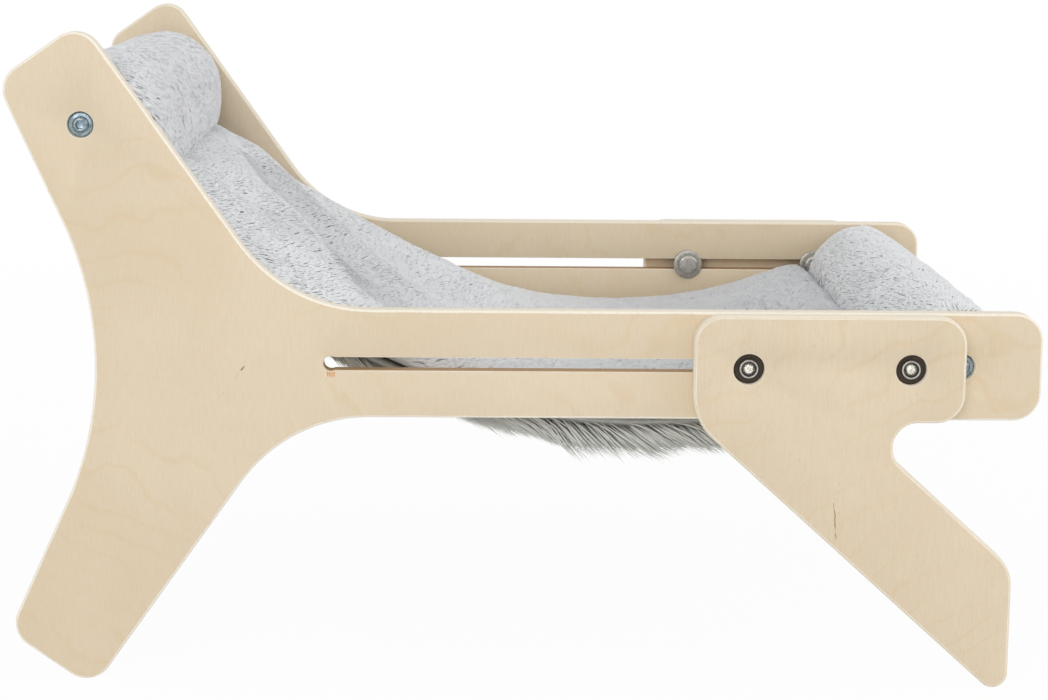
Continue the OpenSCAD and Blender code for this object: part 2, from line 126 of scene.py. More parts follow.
class Finish:
    """One material, built node by node on its principled shader."""

    def __init__(self, name):
        self.material = bpy.data.materials.new(name)
        self.material.use_nodes = True
        self.tree = self.material.node_tree
        self.shader = self.tree.nodes["Principled BSDF"]

    def add(self, kind, inputs=None, **settings):
        node = self.tree.nodes.new(kind)
        for key, value in settings.items():
            setattr(node, key, value)
        for key, value in (inputs or {}).items():
            self.feed(node, key, value)
        return node

    def feed(self, node, key, value):
        if isinstance(value, bpy.types.NodeSocket):
            self.tree.links.new(value, node.inputs[key])
        else:
            node.inputs[key].default_value = value

    def set(self, **values):
        for key, value in values.items():
            self.feed(self.shader, key.replace("_", " "), value)

    def place(self, scale=(1, 1, 1)):
        spot = self.add("ShaderNodeTexCoord").outputs["Object"]
        return self.add("ShaderNodeMapping", {"Vector": spot, "Scale": scale}).outputs[0]

    def noise(self, spot, scale, detail=2.0, roughness=0.5):
        inputs = {"Vector": spot, "Scale": scale, "Detail": detail, "Roughness": roughness}
        return self.add("ShaderNodeTexNoise", inputs).outputs["Fac"]

    def math(self, operation, first, second=0.0, third=0.0):
        inputs = {0: first, 1: second, 2: third}
        return self.add("ShaderNodeMath", inputs, operation=operation).outputs[0]

    def vector(self, operation, inputs):
        return self.add("ShaderNodeVectorMath", inputs, operation=operation).outputs

    def span(self, value, low, high, to_low=0.0, to_high=1.0):
        inputs = {"Value": value, "From Min": low, "From Max": high}
        inputs |= {"To Min": to_low, "To Max": to_high}
        return self.add("ShaderNodeMapRange", inputs, interpolation_type="SMOOTHSTEP").outputs[0]

    def mix(self, share, first, second, blend="MIX"):
        node = self.add("ShaderNodeMix", data_type="RGBA", blend_type=blend)
        self.feed(node, 0, share)
        self.feed(node, 6, first)
        self.feed(node, 7, second)
        return node.outputs[2]

    def ramp(self, value, stops):
        node = self.add("ShaderNodeValToRGB", {0: value})
        marks = node.color_ramp.elements
        while len(marks) < len(stops):
            marks.new(0.5)
        for mark, (at, shade) in zip(marks, stops):
            mark.position = at
            mark.color = shade
        return node.outputs[0]

    def bump(self, height, depth, strength=1.0):
        inputs = {"Height": height, "Distance": depth, "Strength": strength}
        node = self.add("ShaderNodeBump", inputs)
        self.feed(self.shader, "Normal", node.outputs[0])


def srgb(red, green, blue):
    """A linear colour from the 0 to 255 numbers of a picture."""
    def linear(c):
        c /= 255
        return c / 12.92 if c <= 0.04045 else ((c + 0.055) / 1.055) ** 2.4
    return (linear(red), linear(green), linear(blue), 1.0)


def along_line(finish, start, end, width, wander):
    """1 on a thin wandering line from start to end, and 0 off it."""
    start, end = Vector(start), Vector(end)
    line = end - start
    spot = finish.add("ShaderNodeTexCoord").outputs["Object"]
    inputs = {"Vector": spot, "Scale": 160.0, "Detail": 2.0}
    sway = finish.add("ShaderNodeTexNoise", inputs).outputs["Color"]
    sway = finish.vector("SUBTRACT", {0: sway, 1: (0.5, 0.5, 0.5)})[0]
    sway = finish.vector("SCALE", {0: sway, "Scale": wander})[0]
    spot = finish.vector("ADD", {0: spot, 1: sway})[0]
    away = finish.vector("SUBTRACT", {0: spot, 1: tuple(start)})[0]
    share = finish.vector("DOT_PRODUCT", {0: away, 1: tuple(line)})["Value"]
    share = finish.math("DIVIDE", share, line.length_squared)
    share = finish.add("ShaderNodeClamp", {"Value": share}).outputs[0]
    foot = finish.vector("SCALE", {0: tuple(line), "Scale": share})[0]
    gap = finish.vector("DISTANCE", {0: away, 1: foot})["Value"]
    # The full width in the middle, and a fifth of it at both ends
    taper = finish.math("MULTIPLY", finish.math("SUBTRACT", 1.0, share), share)
    reach = finish.math("MULTIPLY_ADD", taper, 3.2 * width, 0.2 * width)
    return finish.span(finish.math("DIVIDE", gap, reach), 0.5, 1.0, 1.0, 0.0)


def on_face(y, marks):
    """Marks on a board's face at y, with their ends in space and their colours linear."""
    return [
        ((start[0], y, start[1]), (end[0], y, end[1]), width, srgb(*colour))
        for start, end, width, colour in marks
    ]


def scorches():
    """The scorched streaks below a slot's drilled end, as marks."""
    marks = []
    for shift in SCORCH_SHIFTS:
        top = (SLOT_REAR_X + shift, slot_axis_z - SCORCH_DROP[0])
        foot = (SLOT_REAR_X + shift - SCORCH_LEAN, slot_axis_z - SCORCH_DROP[1])
        marks.append((top, foot, SCORCH_WIDTH, SCORCH_COLOUR))
    return marks


def birch_face(name, figure_bend, checks):
    """Sanded birch veneer: fine upright fibres, faint tan figure, and a few small checks."""
    wood = Finish(name)
    fibre = wood.noise(wood.place((1900, 1900, 120)), 1.0, 3.0, 0.65)
    fleck = wood.noise(wood.place((1000, 1000, 330)), 1.0, 1.0, 0.5)
    cloud = wood.noise(wood.place(), 11.0, 3.0, 0.55)
    spot = wood.add("ShaderNodeSeparateXYZ", {0: wood.place()})
    shift, tilt, curl = figure_bend
    across = wood.math("ADD", spot.outputs["X"], shift)
    slope = wood.math("MULTIPLY_ADD", spot.outputs["Z"], curl, tilt)
    height = wood.math("MULTIPLY_ADD", across, slope, spot.outputs["Z"])
    drift = wood.noise(wood.place(), 17.0, 3.0, 0.5)
    phase = wood.math("MULTIPLY_ADD", drift, FIGURE_DRIFT, height)
    wobble = wood.noise(wood.place(), 75.0, 2.0, 0.5)
    phase = wood.math("MULTIPLY_ADD", wobble, FIGURE_WOBBLE, phase)
    wave = wood.math("SINE", wood.math("MULTIPLY", phase, 2 * math.pi / FIGURE_PITCH))
    band = wood.span(wave, 0.72, 1.0)
    patch = wood.span(wood.noise(wood.place(), 14.0, 2.0), 0.36, 0.66)
    figure = wood.math("MULTIPLY", band, patch)
    base = wood.mix(wood.span(cloud, 0.3, 0.7), srgb(225, 208, 180), srgb(230, 214, 188))
    tone = wood.mix(wood.math("MULTIPLY", figure, 0.26), base, srgb(224, 192, 148))
    tone = wood.mix(wood.span(fibre, 0.34, 0.72, 0.0, 0.24), tone, srgb(212, 189, 154))
    tone = wood.mix(wood.span(fleck, 0.64, 0.8, 0.0, 0.3), tone, srgb(204, 178, 140))
    for start, end, width, shade in checks:
        tone = wood.mix(along_line(wood, start, end, width, CHECK_WANDER), tone, shade)
    gloss = wood.span(fibre, 0.3, 0.8, 0.56, 0.7)
    wood.set(Base_Color=tone, Roughness=gloss, Specular_IOR_Level=0.3)
    wood.bump(wood.math("MULTIPLY_ADD", fleck, 0.4, fibre), 0.06 * MM, 0.5)
    return wood.material


def birch_edge(name, light, dark):
    """The rounded edge of the plywood, with its plies one above the other across the thickness."""
    wood = Finish(name)
    spot = wood.add("ShaderNodeSeparateXYZ", {0: wood.place()})
    sway = wood.noise(wood.place((60, 60, 60)), 1.0, 2.0)
    depth = wood.math("MULTIPLY_ADD", sway, PLY_SWAY, spot.outputs["Y"])
    plies = wood.math("SINE", wood.math("MULTIPLY", depth, 2 * math.pi / PLY_PITCH))
    glue = wood.span(wood.math("ABSOLUTE", plies), 0.0, 0.3, 0.5, 0.0)
    pores = wood.noise(wood.place((700, 1500, 700)), 1.0, 2.0, 0.6)
    tone = wood.mix(wood.span(plies, -0.6, 0.6), light, dark)
    tone = wood.mix(glue, tone, srgb(198, 170, 132))
    tone = wood.mix(wood.span(pores, 0.5, 0.8, 0.0, 0.35), tone, srgb(205, 180, 146))
    wood.set(Base_Color=tone, Roughness=0.62, Specular_IOR_Level=0.3)
    wood.bump(pores, 0.05 * MM, 0.4)
    return wood.material


def turned_beech():
    wood = Finish("turned_beech")
    fibre = wood.noise(wood.place((900, 20, 900)), 1.0, 3.0, 0.6)
    fleck = wood.noise(wood.place((700, 160, 700)), 1.0, 1.0)
    tone = wood.mix(fibre, srgb(214, 178, 132), srgb(190, 150, 106))
    tone = wood.mix(wood.span(fleck, 0.62, 0.75, 0.0, 0.5), tone, srgb(150, 108, 72))
    wood.set(Base_Color=tone, Roughness=0.6, Specular_IOR_Level=0.3)
    wood.bump(fibre, 0.05 * MM, 0.5)
    return wood.material


def metal(name, light, dark, roughness, grain):
    """Plated steel with a cloudy finish and fine turning marks."""
    plate = Finish(name)
    cloud = plate.noise(plate.place(), grain, 3.0, 0.6)
    scratch = plate.noise(plate.place((4000, 600, 4000)), 1.0, 2.0, 0.7)
    tone = plate.mix(plate.span(cloud, 0.3, 0.7), light, dark)
    gloss = plate.span(scratch, 0.3, 0.7, roughness - 0.07, roughness + 0.1)
    plate.set(Base_Color=tone, Metallic=1.0, Roughness=gloss)
    plate.bump(scratch, 0.01 * MM, 0.5)
    return plate.material


def mouth_painted_shade():
    """The inside of the sleeve nuts' mouths: painted shade, a dark steel colour."""
    steel = Finish("mouth_painted_shade")
    cloud = steel.noise(steel.place(), 900.0, 2.0)
    steel.set(Base_Color=steel.mix(cloud, srgb(22, 22, 24), srgb(44, 43, 42)), Roughness=0.5)
    return steel.material


def broken_steel():
    """The bolts' cut ends: bright and coarse, so that they sparkle."""
    steel = Finish("broken_steel")
    grain = steel.noise(steel.place(), 1100.0, 2.0, 0.6)
    tone = steel.mix(steel.span(grain, 0.4, 0.6), srgb(250, 247, 236), srgb(196, 190, 176))
    steel.set(Base_Color=tone, Metallic=1.0, Roughness=0.25)
    steel.bump(grain, 0.35 * MM, 1.0)
    return steel.material


def black_washer():
    rubber = Finish("black_washer")
    cloud = rubber.noise(rubber.place(), 700.0, 3.0, 0.6)
    tone = rubber.mix(cloud, srgb(44, 35, 28), srgb(70, 58, 46))
    rubber.set(Base_Color=tone, Roughness=0.55, Specular_IOR_Level=0.4)
    rubber.bump(cloud, 0.04 * MM, 0.5)
    return rubber.material


def pile_hair(name, stops, shade_low, shade_high):
    """Plush strands: a shade for each strand and a colour along it, darker towards the root as painted
    shade, both from the strand map.
    """
    hair = Finish(name)
    spot = hair.add("ShaderNodeUVMap", uv_map=STRAND_MAP).outputs[0]
    spot = hair.add("ShaderNodeSeparateXYZ", {0: spot})
    column = hair.math("FLOOR", hair.math("MULTIPLY", spot.outputs["X"], SHADES))
    shade = hair.span(column, 0.0, SHADES - 1, shade_low, shade_high)
    tone = hair.ramp(spot.outputs["Y"], stops)
    grey = hair.add("ShaderNodeCombineColor", {0: shade, 1: shade, 2: shade}).outputs[0]
    tone = hair.mix(1.0, tone, grey, "MULTIPLY")
    hair.set(Base_Color=tone, Roughness=0.8, Specular_IOR_Level=0.2)
    hair.set(Sheen_Weight=0.35, Sheen_Roughness=0.5)
    return hair.material


def backing(name, light, dark):
    """The knitted back of the plush, seen only between strands."""
    knit = Finish(name)
    cloud = knit.noise(knit.place(), 420.0, 3.0, 0.7)
    knit.set(Base_Color=knit.mix(cloud, dark, light), Roughness=0.9, Specular_IOR_Level=0.1)
    knit.bump(cloud, 0.05 * MM, 0.3)
    return knit.material


# Rigid pieces


def new_piece(name, bm, materials, smooth_angle=SMOOTH_ANGLE):
    """An object at the origin from a bmesh, shaded smooth up to an angle."""
    mesh = bpy.data.meshes.new(name)
    bm.to_mesh(mesh)
    bm.free()
    for material in materials:
        mesh.materials.append(material)
    mesh.shade_smooth()
    mesh.set_sharp_from_angle(angle=smooth_angle)
    piece = bpy.data.objects.new(name, mesh)
    bpy.context.scene.collection.objects.link(piece)
    return piece


def stand_for(piece, node, body):
    """Puts a finished piece in the place of a node of the frame."""
    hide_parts(node)
    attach(piece, body)


def merged_copy(node):
    """A bmesh copy of a node of the frame, its loose triangles joined."""
    bm = bmesh.new()
    bm.from_mesh(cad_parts[node].data)
    bmesh.ops.remove_doubles(bm, verts=bm.verts, dist=MERGE)
    return bm


def soften(bm, edges, width, segments):
    bmesh.ops.bevel(
        bm, geom=edges, offset=width, offset_type="OFFSET", affect="EDGES",
        segments=segments, profile=0.5, material=-1, clamp_overlap=False,
    )


def sharp_edges(bm):
    return [e for e in bm.edges if len(e.link_faces) == 2 and e.calc_face_angle(0) > SHARP_ANGLE]


def near_hole(spot, holes):
    """Whether a point belongs to a round hole along Y about one of these points."""
    return any(math.hypot(spot.x - h.x, spot.z - h.z) < RECESS_REACH for h in holes)


def near_slot(spot, slot):
    """Whether a point belongs to a slot along X between two points."""
    if slot is None:
        return False
    within = slot[0].x - SLOT_REACH < spot.x < slot[1].x + SLOT_REACH
    return within and abs(spot.z - slot[0].z) < SLOT_REACH


def plywood(node, body, holes, slot, face, edge, cut):
    """A plywood plate with its outer edges rounded over, and its holes and slot barely broken."""
    bm = merged_copy(node)
    bmesh.ops.dissolve_limit(bm, angle_limit=FLAT_ANGLE, verts=bm.verts, edges=bm.edges)

    def middle(part):
        return sum((v.co for v in part.verts), Vector()) / len(part.verts)

    def at_hole(part):
        return near_hole(middle(part), holes)

    def at_slot(part):
        return near_slot(middle(part), slot)

    outline = [e for e in sharp_edges(bm) if not at_hole(e) and not at_slot(e)]
    soften(bm, outline, PLATE_ROUND, 3)
    soften(bm, [e for e in sharp_edges(bm) if at_hole(e)], HOLE_ROUND, 1)
    soften(bm, [e for e in sharp_edges(bm) if at_slot(e)], SLOT_ROUND, 2)
    bmesh.ops.triangulate(bm, faces=[f for f in bm.faces if len(f.verts) > 4])
    for f in bm.faces:
        f.material_index = 0 if abs(f.normal.y) > FACE_TURN else 1
        if abs(f.normal.y) < WALL_TURN and at_slot(f):
            f.material_index = 2
    piece = new_piece(node.replace("_plate", "") + "_board", bm, [face, edge, cut])
    stand_for(piece, node, body)


def hardware(node, body, material, broken=METAL_ROUND, end_y=None):
    """A metal or plastic piece with its sharp corners broken, or only those at one end along Y."""
    bm = merged_copy(node)
    edges = sharp_edges(bm)
    if end_y is not None:
        edges = [e for e in edges if all(abs(v.co.y - end_y) < END_REACH for v in e.verts)]
    soften(bm, edges, broken, 2)
    piece = new_piece(node + "_finished", bm, [material])
    stand_for(piece, node, body)
    return piece


def clamp_bolt(node, body, material, cut_end):
    """A clamp bolt, its threaded end cut bright."""
    low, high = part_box(node)
    outer_y = max(low.y, high.y, key=abs)
    piece = hardware(node, body, material, end_y=outer_y)
    piece.data.materials.append(cut_end)
    for f in piece.data.polygons:
        if abs(f.center.y - outer_y) < CUT_END:
            f.material_index = 1


def sleeve_nut(node, body, material, mouth):
    """A sleeve nut with a thin bright rim round a wide mouth, its bevel painted dark as shade."""
    bm = merged_copy(node)
    centre = centre_of(node)

    def radius(v):
        return math.hypot(v.co.x - centre.x, v.co.z - centre.z)

    for f in bm.faces:
        # The mouth's bevel inside the rim gets the painted shade
        slanted = MOUTH_TURN[0] < abs(f.normal.y) < MOUTH_TURN[1]
        f.material_index = 1 if slanted and all(radius(v) < NUT_RIM for v in f.verts) else 0
    piece = new_piece(node + "_finished", bm, [material, mouth])
    stand_for(piece, node, body)


def kept_node(node, material):
    """A node of the frame that shows as it is, with a better material."""
    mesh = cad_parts[node].data
    mesh.materials.clear()
    mesh.materials.append(material)


# Plush


# The map of the strands has one column for each shade, and runs up it along the strand
STRAND_MAP = "strand"
BAKE_MAP = "OFBake"
SHADES = 16
COLUMN_MARGIN = 0.15
ROW_MARGIN = 0.02
# A piece of pile has at most this many strands
PIECE_STRANDS = 31000
# A strand is a flat spindle with three sides and its ridge up, pointed at its root and its tip
STRAND_TAPER = (0.0, 1.0, 0.0)
# How strands differ: their length and width, the pull to their tuft, and the waves of a smooth field
LENGTH_JITTER = 0.07
WIDTH_SPREAD = (0.75, 1.2)
PULL_SPREAD = (0.5, 1.0)
WAVE_SPREAD = (0.6, 1.5)
# Waves of the strands' length, and of their turn and rise, in tufts; and the turn's share
LENGTH_TUFTS = 2.5
TURN_TUFTS = 3
TUFT_TURN = 0.35
# The underside's strands face sideways beyond this distance from the middle
EDGE_TURN = 30 * MM
# The plush ends here on both sides, clear of the clamp heads that slide past it, and a little unevenly
PLUSH_REACH_Y = bed_side_y + 1.6 * MM
EDGE_UNEVEN = 1.2 * MM
# Shorter vectors than this have no direction
TINY = 1e-9


def spindle(rings, flatness):
    """The strand's points as (side, up, ring) and its faces, from a sphere with three segments."""
    bm = bmesh.new()
    bmesh.ops.create_uvsphere(bm, u_segments=3, v_segments=len(rings) - 1, radius=1.0)
    waist = max(bm.verts, key=lambda v: math.hypot(v.co.x, v.co.y)).co
    ridge_up = Matrix.Rotation(math.pi / 2 - math.atan2(waist.y, waist.x), 3, "Z")
    bmesh.ops.rotate(bm, cent=(0, 0, 0), matrix=ridge_up, verts=bm.verts)
    levels = sorted({round(v.co.z, 4) for v in bm.verts})
    points = []
    for v in bm.verts:
        around = Vector((v.co.x, v.co.y, 0))
        around = around.normalized() if around.length > MERGE else around
        points.append((around.x, flatness * around.y, levels.index(round(v.co.z, 4))))
    faces = [[v.index for v in f.verts] for f in bm.faces]
    bm.free()
    return np.array(points), faces


def smooth_field(draw, points, wavelength, waves=12):
    """A smooth random number, mostly between -1 and 1, at each point."""
    way = draw.normal(size=(waves, 3))
    turns = 2 * np.pi / wavelength * draw.uniform(*WAVE_SPREAD, (waves, 1))
    way *= turns / np.linalg.norm(way, axis=1, keepdims=True)
    start = draw.uniform(0, 2 * np.pi, waves)
    return np.sin(points @ way.T + start).sum(1) / np.sqrt(waves)


def unit(vectors):
    return vectors / np.maximum(np.linalg.norm(vectors, axis=1, keepdims=True), TINY)


def surface(mesh):
    """The points of a mesh, its triangles and its smooth normals."""
    mesh.calc_loop_triangles()
    corners = np.empty(len(mesh.loop_triangles) * 3, np.int32)
    mesh.loop_triangles.foreach_get("vertices", corners)
    corners = corners.reshape(-1, 3)
    points = np.empty(len(mesh.vertices) * 3)
    mesh.vertices.foreach_get("co", points)
    points = points.reshape(-1, 3)
    a, b, c = (points[corners[:, i]] for i in range(3))
    facing = np.cross(b - a, c - a)
    normals = np.zeros(points.shape)
    for i in range(3):
        np.add.at(normals, corners[:, i], facing)
    return points, corners, unit(normals)


def move_points(mesh, points):
    mesh.vertices.foreach_set("co", points.ravel())
    mesh.update()


def scatter(draw, mesh, spacing, wanted):
    """Roots spread evenly over the wanted faces of a mesh, with their smooth normals."""
    points, corners, normals = surface(mesh)
    count = len(corners)
    a, b, c = (points[corners[:, i]] for i in range(3))
    facing = np.cross(b - a, c - a)
    area = np.linalg.norm(facing, axis=1) / 2
    area[~wanted((a + b + c) / 3, unit(facing))] = 0
    total = np.cumsum(area)
    roots = int(total[-1] / spacing ** 2)
    pick = np.searchsorted(total, (np.arange(roots) + draw.random(roots)) / roots * total[-1])
    pick = np.minimum(pick, count - 1)
    s, t = draw.random(roots), draw.random(roots)
    over = s + t > 1
    s[over], t[over] = 1 - s[over], 1 - t[over]
    share = np.stack([1 - s - t, s, t], axis=1)[:, :, None]
    root = (points[corners[pick]] * share).sum(1)
    return root, unit((normals[corners[pick]] * share).sum(1))


def nearest(roots, guides):
    """The index of the guide nearest to each root."""
    tree = kdtree.KDTree(len(guides))
    for i, g in enumerate(guides):
        tree.insert(g, i)
    tree.balance()
    return np.array([tree.find(r)[1] for r in roots])


def strands(draw, root, normal, comb, look, rise):
    """Centre lines of strands as (strand, ring, xyz): combed, waved and drawn together in tufts."""
    count = len(root)
    uneven = look["uneven"] * smooth_field(draw, root, look["tuft"] * LENGTH_TUFTS)
    length = look["length"] * (1 + uneven)
    length *= 1 + draw.normal(0, LENGTH_JITTER, count)
    turn = look["wave"] * smooth_field(draw, root, look["wave_length"])
    astray = look["stray"] * draw.normal(0, 1, count)
    turn += astray + TUFT_TURN * look["wave"] * smooth_field(draw, root, look["tuft"] * TURN_TUFTS)
    side = np.cross(normal, comb)
    comb = comb * np.cos(turn)[:, None] + side * np.sin(turn)[:, None]
    comb = unit(comb - np.array((0, 0, 1)) * look["fall"] * np.abs(normal[:, 1:2]))
    rise = rise + look["rise_wave"] * smooth_field(draw, root, look["tuft"] * TURN_TUFTS)
    rise = rise + look["stand"] * draw.exponential(1.0, count)
    tip = unit(comb * np.cos(rise)[:, None] + normal * np.sin(rise)[:, None]) * length[:, None]
    lift = normal * (look["lift"] * length)[:, None]
    tufts = max(1, int(count * (look["spacing"] / look["tuft"]) ** 2))
    guide = draw.permutation(count)[:tufts]
    group = guide[nearest(root, root[guide])]
    pull = look["clump"] * draw.uniform(*PULL_SPREAD, count)
    gather = (root[group] + tip[group] - root - tip) * pull[:, None]
    rings = np.array(look["rings"])[None, :, None]
    bow = 2 * rings * (1 - rings)
    line = root[:, None] + tip[:, None] * rings + lift[:, None] * bow + gather[:, None] * rings ** 2
    down = look["droop"] * np.array((0, 0, -1))
    return line + down * rings ** 2 * length[:, None, None]


def strand_points(draw, line, normal, look):
    """The points of every strand about its centre line."""
    shape, faces = spindle(look["rings"], look["flatness"])
    ring = shape[:, 2].astype(int)
    width = look["width"] / 2 * draw.uniform(*WIDTH_SPREAD, len(line))
    limit = (PLUSH_REACH_Y - draw.uniform(0, EDGE_UNEVEN, len(line)) - width)[:, None]
    line = line.copy()
    line[:, :, 1] = np.clip(line[:, :, 1], -limit, limit)
    way = unit(line[:, -1] - line[:, 0])
    side = unit(np.cross(normal, way))
    up = np.cross(way, side)
    taper = np.array(STRAND_TAPER)[ring] * width[:, None]
    spread = side[:, None] * shape[None, :, :1] + up[:, None] * shape[None, :, 1:2]
    points = line[:, ring] + spread * taper[:, :, None]
    soft = look["cloth_normal"] * normal[:, None] + (1 - look["cloth_normal"]) * spread
    edge = look["edge_normal"] * np.tanh(line[:, 0, 1] / EDGE_TURN)
    soft[:, :, 1] += edge[:, None]
    return points, soft, faces, ring


def strand_mesh(name, points, soft, faces, ring, rings, column):
    """One mesh of many strands, each mapped to the column of its shade and along its length."""
    count, size = points.shape[:2]
    corners = np.concatenate([np.array(f) for f in faces])
    starts = np.cumsum([0] + [len(f) for f in faces])[:-1]
    loops = (corners[None] + np.arange(count)[:, None] * size).ravel()
    first = (starts[None] + np.arange(count)[:, None] * len(corners)).ravel()
    mesh = bpy.data.meshes.new(name)
    mesh.vertices.add(count * size)
    mesh.loops.add(len(loops))
    mesh.polygons.add(len(first))
    mesh.vertices.foreach_set("co", points.astype(np.float32).ravel())
    mesh.loops.foreach_set("vertex_index", loops.astype(np.int32))
    mesh.polygons.foreach_set("loop_start", first.astype(np.int32))
    mesh.update(calc_edges=True)
    along = np.array(rings)[ring[corners]]
    across = []
    for f in faces:
        levels = [ring[i] for i in f]
        across += [0.5 if levels.count(level) == 1 else 0.0 for level in levels]
        for level in set(levels):
            pair = [k for k in range(len(f)) if levels[k] == level]
            if len(pair) == 2:
                later = pair[1] if level == min(levels) else pair[0]
                across[len(across) - len(f) + later] = 1.0
    across = COLUMN_MARGIN + (1 - 2 * COLUMN_MARGIN) * np.array(across)
    map_u = (column[:, None] + across[None]) / SHADES
    map_v = np.broadcast_to(ROW_MARGIN + (1 - 2 * ROW_MARGIN) * along[None], map_u.shape)
    spots = np.stack([map_u, map_v], axis=2).astype(np.float32).ravel()
    for layer in (STRAND_MAP, BAKE_MAP):
        mesh.uv_layers.new(name=layer).data.foreach_set("uv", spots)
    mesh.shade_smooth()
    mesh.normals_split_custom_set_from_vertices(unit(soft.reshape(-1, 3)))
    return mesh


def pile(name, draw, line, normal, look, material, tone=0.0):
    """The strands of a plush surface as pieces along X, each strand lighter by its tone."""
    tone = np.broadcast_to(tone, len(line))
    order = np.argsort(line[:, 0, 0], kind="stable")
    parts = np.array_split(order, math.ceil(len(order) / PIECE_STRANDS))
    pieces = []
    for number, part in enumerate(parts, 1):
        points, soft, faces, ring = strand_points(draw, line[part], normal[part], look)
        column = draw.normal(look["shade"], look["shade_spread"], len(part)) + tone[part]
        column = np.clip(np.rint(column), 0, SHADES - 1)
        mesh = strand_mesh(f"{name}_{number}", points, soft, faces, ring, look["rings"], column)
        mesh.materials.append(material)
        piece = bpy.data.objects.new(f"{name}_{number}", mesh)
        bpy.context.scene.collection.objects.link(piece)
        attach(piece, FRAME_BODY)
        pieces.append(piece)
    return pieces


# The short pile of the bed's top and the rolls, and the long pile of the bed's underside. Strands
# differ by uneven, wave and stray, stand up by rise_wave, stand and lift, bend down by droop and fall,
# and are drawn to their tuft by clump. Their rings lie at shares of their length. They are shaded like
# the cloth by cloth_normal, and to the sides by edge_normal.
SHORT_PILE = dict(
    length=6.5 * MM, width=1.15 * MM, spacing=1.11 * MM, tuft=4 * MM, wave_length=45 * MM,
    uneven=0.08, wave=0.24, stray=0.06, rise_wave=0.008, stand=0.008, lift=0.05,
    droop=0.0, fall=0.0, clump=0.06, rings=(0.0, 0.42, 1.0), flatness=0.32,
    cloth_normal=0.94, edge_normal=0.0, shade=12.9, shade_spread=0.8,
)
LONG_PILE = dict(
    length=25 * MM, width=1.0 * MM, spacing=1.35 * MM, tuft=7 * MM, wave_length=50 * MM,
    uneven=0.14, wave=0.2, stray=0.05, rise_wave=0.05, stand=0.03, lift=0.08,
    droop=0.04, fall=0.4, clump=0.22, rings=(0.0, 0.45, 1.0), flatness=0.55,
    cloth_normal=0.6, edge_normal=1.1, shade=8.0, shade_spread=4.5,
)
# The rolls' pile is a little shorter than the bed's and painted lighter than it, most on the rear
# roll, as painted light; the front roll's is more even
ROLL_PILE = {
    "rear": dict(SHORT_PILE, length=6 * MM, shade=14.4),
    "front": dict(
        SHORT_PILE, length=6 * MM, shade=13.6,
        uneven=0.03, wave=0.15, rise_wave=0.004, stand=0.004, clump=0.03,
    ),
}
SHORT_RISE = math.radians(8)
ROLL_RISE = {"rear": math.radians(6), "front": math.radians(7)}
# The rise of the underside's pile in degrees, at these places along X
SHAGGY_X = (-0.10, -0.02, 0.10)
SHAGGY_RISE = (3, 13, 19)
# Pile grows where the bed's top is turned up at least this far, and where its underside is turned up
# at most this far, from one place along X to another
TOP_TURN = -0.4
UNDER_TURN_X = (-0.05, 0.02)
UNDER_TURN = (-0.3, 0.5)
# How far the pile of the bed and of each roll leans to the left side
BED_LEAN = 1.6
ROLL_LEAN = {"rear": 0.5, "front": 1.6}
# The front roll's pile parts on top, over this width, and falls to both sides
PARTING_WIDTH = 10 * MM
# How far the pile's roots lie below the surface of each soft solid, or above it where negative
BED_TOP_SINK = -2.4 * MM
BED_UNDER_SINK = 2.5 * MM
ROLL_SINK = {"rear": -1.0 * MM, "front": 0.6 * MM}
# How far the skins are drawn in below the roots of their strands
BED_SETTLE = 0.4 * MM
ROLL_SETTLE = 0.3 * MM
# A skin's triangles are joined up to these angles and subdivided so often, and its outer side is all
# that is turned outwards at least this far
JOIN_ANGLE = math.radians(60)
JOIN_SKEW = math.radians(70)
SKIN_LEVELS = 2
SKIN_TURN = -0.2
# Soft bumps of the bed's top: their height from one place along X to another, and their spacing
RUFFLE_X = (-0.05, 0.08)
RUFFLE_HEIGHT = (0.12 * MM, 0.22 * MM)
RUFFLE_SPACING = 24 * MM
# The crests of the folds on the rear slope: where each starts and ends in plan, and its height
CRESTS = (
    ((-0.180, 0.085), (-0.072, -0.128), 4.0 * MM),
    ((-0.156, -0.040), (-0.082, -0.138), 3.0 * MM),
    ((-0.181, -0.045), (-0.135, -0.115), 2.0 * MM),
)
CREST_NEAR = 17 * MM
CREST_FAR = 10 * MM
GROOVE_AWAY = 24 * MM
GROOVE_WIDTH = 14 * MM
GROOVE_DEPTH = 0.5
# Shares of a fold's length over which its crest, and then its painted highlight and painted shade,
# fade at its start and its end
CREST_FADE = (0.08, 0.45)
FOLD_PAINT_FADE = (0.05, 0.3)
# Painted light on the pile at a fold: a painted highlight along its crest, and behind it painted
# shade, which sets in at a distance, over a width, and then runs out
CREST_HIGHLIGHT_WIDTH = 5 * MM
CREST_PAINTED_HIGHLIGHT = 2.0
FOLD_SHADE_AWAY = 2 * MM
FOLD_SHADE_ONSET = 6 * MM
FOLD_SHADE_WIDTH = 48 * MM
FOLD_PAINTED_SHADE = 10.5
# Painted shade: the pile is painted darker by this much towards the front, from one place along X to
# another
FRONT_PAINTED_SHADE_X = (-0.02, 0.09)
FRONT_PAINTED_SHADE = -6.5
# The bed's side edges droop over this width
EDGE_DROOP = 3.0 * MM
EDGE_WIDTH = 26 * MM
# The bed rises to the front roll by this height, from one place along X to another
FRONT_RISE = 5.5 * MM
FRONT_RISE_X = (0.09, 0.17)
# The bed's slope along its length
BED_SLOPE_X = (-0.19, -0.13, -0.05, 0.058, 0.18)
BED_SLOPE = (-0.80, -0.65, -0.40, 0.0, 0.2)
# The rolls' ends are drawn in, and the cloth is gathered in ridges that run round them
END_LENGTH = 24 * MM
END_DRAW = 3.0 * MM
# The share of that on the side away from the bed
FAR_DRAW = 0.35
GATHER_HEIGHT = {"rear": 0.4 * MM, "front": 0.6 * MM}
GATHER_SPACING = 13 * MM
